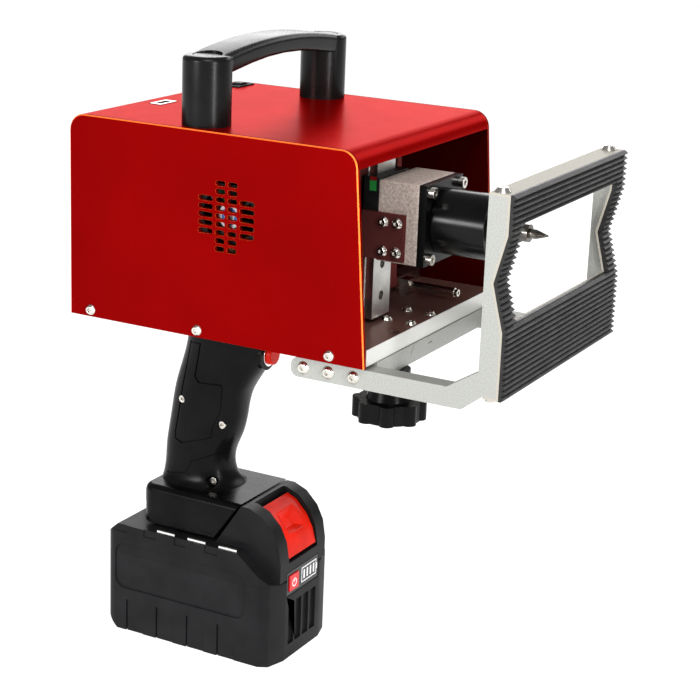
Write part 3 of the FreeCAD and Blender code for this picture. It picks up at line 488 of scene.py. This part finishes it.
def rubber_finish():
    """Ribbed rubber: dull black flanks with rubbed, greyer rib crests."""
    finish = Finish("Ribbed rubber", {"Specular IOR Level": 0.35})
    rubbed = finish.noise(260, 3, (0.2, 1, 1))
    finish.feed("Base Color", finish.tint(rubbed, [(0.006, 0.006, 0.006), (0.016, 0.016, 0.015)]))
    finish.feed("Roughness", finish.noise(90, 3) * 0.16 + 0.34)
    finish.bump(finish.noise(900, 3), 0.00006, 0.5)
    return finish.material


arm_blast = blast_finish("Fine blasted aluminium", (0.33, 0.335, 0.315), (0.45, 0.455, 0.43), 1100, 0.00004, 0.45)
satin_sheet = blast_finish("Satin sheet", (0.40, 0.375, 0.32), (0.47, 0.44, 0.38), 1500, 0.00001, 0.2)
machined("left_arm", "Left_arm", arm_blast, 0.0006)
machined("right_arm", "Right_arm", arm_blast, 0.0006)
slanted = prism([(-32.6, 240.2), (-31.7, 240.0), (-26.2, 247.9), (-27.1, 248.2)], "Y", -158, -156.6)
level = slab((-7.9, -1.6), (-158, -156.6), (241.9, 242.8))
machined("cross_plate", "Cross_plate", arm_blast, 0.0002, [slanted, level])
machined("front_plate", "Bent_front_plate", satin_sheet, 0.0002)
machined("rubber_mat", "Ribbed_mat", rubber_finish(), 0.00012)


# ------------------------------------------------------------------ locking knob
# An eight-lobed knob of glass-filled nylon moulded round its stud, with a shine from handling.
gloss_black = moulding("Gloss black moulding", (0.0016, 0.0016, 0.0016), 0.27, 1800, 0.00002, 0.09)
machined("star_knob", "Star_knob", gloss_black, 0.0011)


# ------------------------------------------------------------------ carry handle
# A hollow nylon moulding: two round posts and an arched bar, bolted up through the roof, with a round
# snap-in cap over each bolt.
POST_X, HANDLE_Y, POST_RADIUS = 73.5, -28, 15.5
ROOF, HANDLE_TOP, ARCH_TOP = 378, 421.4, 427.7
RING_RADIUS, CAP_RADIUS, CAP_FOOT = 9.5, 8.9, 417
UNDERSIDE = [(0, 416.2), (20, 415.6), (40, 413.7), (58, 411.2), (POST_X, 409)]
BAR_HEIGHT, BAR_STEPS, CORNER_SQUEEZE = 13, 36, 0.9
# Each corner of the bar's section: y, z, radius and the turn at which its arc starts.
BAR_CORNERS = [(10, 8.4, 4.6, 0), (-10, 8.4, 4.6, 90), (-11, 3, 3, 180), (11, 3, 3, 270)]


def cylinder(axis, centre, low, high, radius, sides=64):
    """A round solid along an axis between two places on it."""
    spots = [(centre[0] + radius * math.cos(2 * math.pi * i / sides),
              centre[1] + radius * math.sin(2 * math.pi * i / sides)) for i in range(sides)]
    return prism(spots, axis, low, high)


def underside(x):
    """The height of the bar's lower face at a distance from its middle."""
    for (near, high), (far, low) in zip(UNDERSIDE, UNDERSIDE[1:]):
        if x <= far:
            return high + (low - high) * (x - near) / (far - near)
    return UNDERSIDE[-1][1]


def handle_bar():
    """A straight bar of round-edged section, cut into short lengths that are then lifted into the arch."""
    section = []
    for y, z, radius, first in BAR_CORNERS:
        for step in range(7):
            turn = math.radians(first + 15 * step)
            across = y + radius * math.cos(turn) * CORNER_SQUEEZE
            section.append((HANDLE_Y + across, z + radius * math.sin(turn)))
    bar = prism(section, "X", -POST_X, POST_X)
    pick(bar)
    bpy.ops.object.mode_set(mode="EDIT")
    for step in range(1, BAR_STEPS):
        place = (-POST_X + 2 * POST_X * step / BAR_STEPS) * MM
        bpy.ops.mesh.select_all(action="SELECT")
        bpy.ops.mesh.bisect(plane_co=(place, 0, 0), plane_no=(1, 0, 0))
    bpy.ops.object.mode_set(mode="OBJECT")
    for corner in bar.data.vertices:
        x = min(POST_X, abs(corner.co.x / MM))
        top = ARCH_TOP - (ARCH_TOP - HANDLE_TOP) * (x / POST_X) ** 2
        corner.co.z = (underside(x) + (top - underside(x)) * corner.co.z / MM / BAR_HEIGHT) * MM
    return bar


def carry_handle():
    """The bar with its posts, softly rounded on top, and a ring groove round each cap."""
    handle = handle_bar()
    for side in (-1, 1):
        post = cylinder("Z", (side * POST_X, HANDLE_Y), ROOF - 6, HANDLE_TOP, POST_RADIUS)
        pick(post)
        soft = post.modifiers.new("Soft edge", "BEVEL")
        soft.width, soft.segments, soft.use_clamp_overlap = 0.0032, 5, False
        soft.limit_method, soft.angle_limit = "ANGLE", math.radians(60)
        bpy.ops.object.modifier_apply(modifier=soft.name)
        carve(post, "DIFFERENCE", [slab((-120, 120), (-60, 10), (ROOF - 10, ROOF))])
        carve(handle, "UNION", [post])
        ring = cylinder("Z", (side * POST_X, HANDLE_Y), 419, 430, RING_RADIUS)
        carve(handle, "DIFFERENCE", [ring])
    pick(handle)
    bpy.ops.object.shade_smooth_by_angle(angle=math.radians(35))
    return handle


handle_black = moulding("Handle moulding", (0.004, 0.004, 0.004), 0.27, 1500, 0.00002, 0.15)
fit(carry_handle(), "Carry_handle", handle_black, "carry_handle")
caps, second = (cylinder("Z", (x, HANDLE_Y), CAP_FOOT, HANDLE_TOP - 0.1, CAP_RADIUS) for x in (-POST_X, POST_X))
carve(caps, "UNION", [second])
break_edges(caps, 0.0005)
fit(caps, "Handle_caps", handle_black, "handle_caps")


# ------------------------------------------------------------------ pistol grip
# Two nylon halves screwed together, gripping a foot that slides over the battery.  A raised side panel
# is outlined by a fine groove, and a second groove marks the seam above the foot.
PANEL = [(18.3, 216), (7.4, 217.1), (11.7, 192.3), (9, 188.9), (-8.6, 189.8), (-9.5, 186.8), (-7.2, 169.2),
         (-2.2, 157.2), (-0.6, 149), (23.4, 140.9), (29.2, 143), (29.8, 147.7)]
SEAM = [(36.5, 117), (19.5, 120.8), (15.1, 129.8), (-1.7, 137.3), (-10, 140.5)]


PANEL_GROOVE, SEAM_GROOVE, SKIN = 1.1, 1.1, 0.955


def groove(side, points, band):
    """A band that follows the outline on one side of the grip, kept only above the skin's depth."""
    low, high = (-32, -8) if side < 0 else (8, 32)
    return prism(points, "X", low, high, band)


def grip_half(node, side):
    """A CAD half with both grooves cut as deep as the difference between it and a narrower core."""
    half = plain_copy(node)
    core = plain_copy(node)
    for corner in core.data.vertices:
        corner.co.x *= SKIN
    seam = SEAM + [(y, z - SEAM_GROOVE) for y, z in reversed(SEAM)]
    for outline, band in ((PANEL, PANEL_GROOVE), (seam, 0)):
        tool = groove(side, outline, band)
        keep = core.copy()
        keep.data = core.data.copy()
        bpy.context.scene.collection.objects.link(keep)
        carve(tool, "DIFFERENCE", [keep])
        carve(half, "DIFFERENCE", [tool])
    bpy.data.objects.remove(core)
    break_edges(half, 0.0004, 30)
    return half


fit(grip_half("grip_shell_left", -1), "Grip_left_half", gloss_black, "grip_shell_left")
fit(grip_half("grip_shell_right", 1), "Grip_right_half", gloss_black, "grip_shell_right")
red_plastic = moulding("Red-orange moulding", (0.50, 0.008, 0.001), 0.3, 1600, 0.00002, 0.12)
machined("grip_mounting_plate", "Grip_plate", enamel, 0.0003)
machined("grip_screws", "Grip_screws", stainless, 0.0002)
machined("trigger_ring", "Trigger_ring", chrome, 0.0002)
machined("trigger_button", "Trigger_button", red_plastic, 0.0008)
machined("strap_lug", "Strap_lug", gloss_black, 0.0006)
paint("trigger_switch", gloss_black)
paint("terminal_socket", gloss_black)


# ------------------------------------------------------------------ battery shells
# Two satin nylon shells.  Each side has a shallow panel across both shells, four pads with a dark joint
# line at the foot of the lower one, and hinge-like tabs along the top edge under bright clips.
SIDE, PANEL_DEPTH, PAD_DEPTH, LINE_DEPTH, GAP_DEPTH = 42, 1.0, 0.6, 1.5, 0.7
PAD_LINES = (53, 27.7, 2.3, -23.1)
TAB_GAPS = ((53, 66), (28.6, 39), (3.9, 13.4), (-22.2, -11.5))


def skins(depth):
    """The two depths, left and right, between which a cut of this depth goes into the sides."""
    return (-SIDE - 1, -SIDE + depth), (SIDE - depth, SIDE + 1)


def rounded(y, z, radius, low, high):
    """A solid along X with four rounded corners, for shallow pockets in the battery's sides."""
    spots = []
    centres = [(y[1] - radius, z[1] - radius), (y[0] + radius, z[1] - radius),
               (y[0] + radius, z[0] + radius), (y[1] - radius, z[0] + radius)]
    for quarter, (cy, cz) in enumerate(centres):
        for step in range(7):
            turn = math.pi / 2 * (quarter + step / 6)
            spots.append((cy + radius * math.cos(turn), cz + radius * math.sin(turn)))
    return prism(spots, "X", low, high)


def side_panels():
    """The shallow panel across both shells."""
    return [rounded((-45, 63), (32, 66), 8, *ends) for ends in skins(PANEL_DEPTH)]


def side_pads():
    """Four shallow pads with a deeper joint line at the front end of each."""
    pads = []
    for line in PAD_LINES:
        pads += [rounded((line - 14, line), (-9, 24), 4, *ends) for ends in skins(PAD_DEPTH)]
        pads += [slab(ends, (line - 0.5, line + 0.5), (-1, 24)) for ends in skins(LINE_DEPTH)]
    return pads


def tab_gaps():
    """The gaps between the tabs along the top edge."""
    return [slab(ends, gap, (74.5, 81)) for ends in skins(GAP_DEPTH) for gap in TAB_GAPS]


satin_black = moulding("Satin black moulding", (0.006, 0.006, 0.0066), 0.4, 2400, 0.00005, 0.11)
lower_black = moulding("Lower shell moulding", (0.0075, 0.0075, 0.0083), 0.48, 2400, 0.00006, 0.11)
machined("pack_lower_case", "Battery_lower_shell", lower_black, 0.00035, side_panels() + side_pads())
machined("pack_upper_case", "Battery_upper_shell", satin_black, 0.0007, side_panels() + tab_gaps())
machined("pack_clips", "Pack_clips", chrome, 0.0002)
machined("latch_key", "Release_key", red_plastic, 0.0006)


def cell_finish():
    finish = Finish("Sleeved cells", {"Specular IOR Level": 0.5})
    bare = (finish.x > 0.0318) + (finish.x < -0.0318)
    sleeve = finish.tint(finish.noise(40), [(0.01, 0.10, 0.16), (0.02, 0.16, 0.24)])
    finish.feed("Base Color", finish.blend(bare, sleeve, (0.6, 0.6, 0.6, 1)))
    finish.feed("Metallic", bare * 1.0)
    finish.feed("Roughness", finish.noise(80) * 0.1 + 0.3)
    return finish.material


paint("battery_cells", cell_finish())


# ------------------------------------------------------------------ charge gauge
# A gloss printed panel let into the battery's front, with four charge bars in a battery outline, and a
# red push button printed with a power sign.
def gauge_finish():
    finish = Finish("Printed gauge panel", {"Specular IOR Level": 0.4})
    frame_line = finish.x.within(-0.0015, 0.0192) * finish.z.within(0.0505, 0.0618)
    inner = finish.x.within(-0.0006, 0.0183) * finish.z.within(0.0514, 0.0609)
    knob_end = finish.x.within(0.0192, 0.0204) * finish.z.within(0.0540, 0.0583)
    bars = 0
    for bar in range(4):
        left = 0.0012 + bar * 0.0044
        bars = finish.x.within(left, left + 0.0021) + bars
    bars = bars * finish.z.within(0.0528, 0.0595)
    print_mask = (frame_line - inner) + knob_end + bars
    black = finish.tint(finish.noise(60), [(0.004, 0.004, 0.004), (0.008, 0.008, 0.008)])
    finish.feed("Base Color", finish.blend(print_mask, black, (0.80, 0.80, 0.82, 1)))
    finish.feed("Roughness", finish.noise(90) * 0.08 + 0.16)
    return finish.material


def power_finish():
    """A broken ring with a short bar through its gap."""
    finish = Finish("Printed power button", {"Specular IOR Level": 0.4})
    across = finish.x - (-0.01275)
    up = finish.z - 0.0556
    radius = (across * across + up * up).root()
    gap = across.within(-0.0010, 0.0010) * (up > 0)
    ring = radius.within(0.0022, 0.0031) * (1 - gap)
    stroke = across.within(-0.00045, 0.00045) * up.within(0.0003, 0.0034)
    paint_red = finish.tint(finish.noise(90), [(0.62, 0.01, 0.015), (0.72, 0.016, 0.02)])
    finish.feed("Base Color", finish.blend(ring + stroke, paint_red, (0.92, 0.80, 0.80, 1)))
    finish.feed("Roughness", finish.noise(90) * 0.1 + 0.25)
    return finish.material


machined("gauge_panel", "Gauge_panel", gauge_finish(), 0.0001)
machined("gauge_button", "Gauge_button", power_finish(), 0.0003)


# ------------------------------------------------------------------ fan
# A 40 mm axial fan bolted behind the slots; a white maker's label with a blue ring covers its hub.
def rotor_finish():
    finish = Finish("Fan rotor with label", {"Specular IOR Level": 0.3})
    along, up = finish.y + 0.0563, finish.z - 0.3262
    radius = (along * along + up * up).root()
    black = finish.tint(finish.noise(60), [(0.006, 0.006, 0.006), (0.012, 0.012, 0.012)])
    label = finish.blend(radius < 0.0078, black, (0.72, 0.74, 0.76, 1))
    finish.feed("Base Color", finish.blend(radius.within(0.0036, 0.0056), label, (0.05, 0.16, 0.50, 1)))
    finish.feed("Roughness", finish.noise(80) * 0.1 + 0.4)
    return finish.material


machined("fan_frame", "Fan_frame", satin_black, 0.0003)
machined("fan_rotor", "Fan_rotor", rotor_finish(), 0.0003)


# ------------------------------------------------------------------ screen, switch and electronics
# A touch screen with a black border set in the back, a rocker switch in the roof and a green circuit board
# on pillars behind the screen, with the screw supports that carry the cross axis.
def screen_finish():
    finish = Finish("Touch screen", {"Coat Weight": 0.5, "Coat Roughness": 0.05, "Specular IOR Level": 0.4})
    front = finish.y > 0.0615
    lit = front * finish.x.within(-0.067, 0.067) * finish.z.within(0.2715, 0.3365)
    header = finish.z > 0.3285
    columns = finish.x.maths("WRAP", finish.x, 0.0335, 0.0)
    rows = finish.z.maths("WRAP", finish.z - 0.2735, 0.0180, 0.0)
    key = columns.within(0.0025, 0.0310) * rows.within(0.0022, 0.0158) * (finish.z < 0.3270)
    ground = finish.blend(header, (0.10, 0.16, 0.24, 1), (0.02, 0.06, 0.14, 1))
    picture = finish.blend(key, ground, (0.45, 0.52, 0.58, 1))
    border = finish.tint(finish.noise(60), [(0.004, 0.004, 0.004), (0.008, 0.008, 0.008)])
    finish.feed("Base Color", finish.blend(lit, border, picture))
    finish.feed("Roughness", finish.noise(50) * 0.06 + 0.14)
    return finish.material


board_green = moulding("Circuit board", (0.01, 0.09, 0.04), 0.4, 900, 0.00003)
machined("touch_screen", "Touch_screen", screen_finish(), 0.0004)
machined("power_switch_frame", "Switch_frame", satin_black, 0.0003)
machined("power_rocker", "Switch_rocker", gloss_black, 0.0003)
machined("controller_board", "Controller_board", board_green, 0.0001)
machined("x_screw_supports", "Screw_supports", arm_blast, 0.0003)
